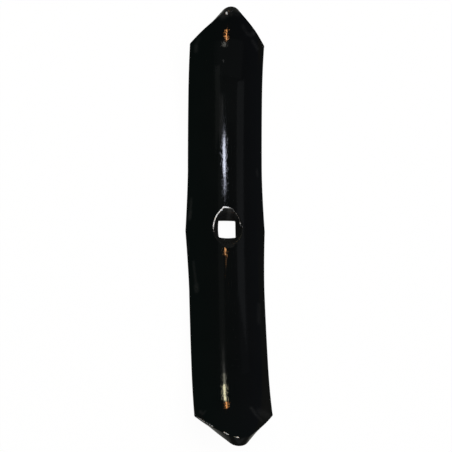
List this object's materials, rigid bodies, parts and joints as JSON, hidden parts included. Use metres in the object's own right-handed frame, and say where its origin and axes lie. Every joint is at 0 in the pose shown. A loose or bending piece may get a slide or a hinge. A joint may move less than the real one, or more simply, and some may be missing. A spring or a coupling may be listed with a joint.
{
  "type": "cultivator share",
  "caption": "Double-ended cultivator share pressed from flat bar, crowned and bowed, with a point at each end and a countersunk square bolt hole in the middle.",
  "frame": {"origin": "under the middle of the bolt hole, on the surface that the share rests on", "axes": "+Z out of the crowned working face, +Y along the share to one point, +X across it"},
  "size_m": [0.0468, 0.2488, 0.0458],
  "materials": {
    "black_paint": "gloss black paint on pressed steel, with fine orange peel"
  },
  "bodies": {
    "root": {"share": "black_paint"}
  },
  "joints": []
}
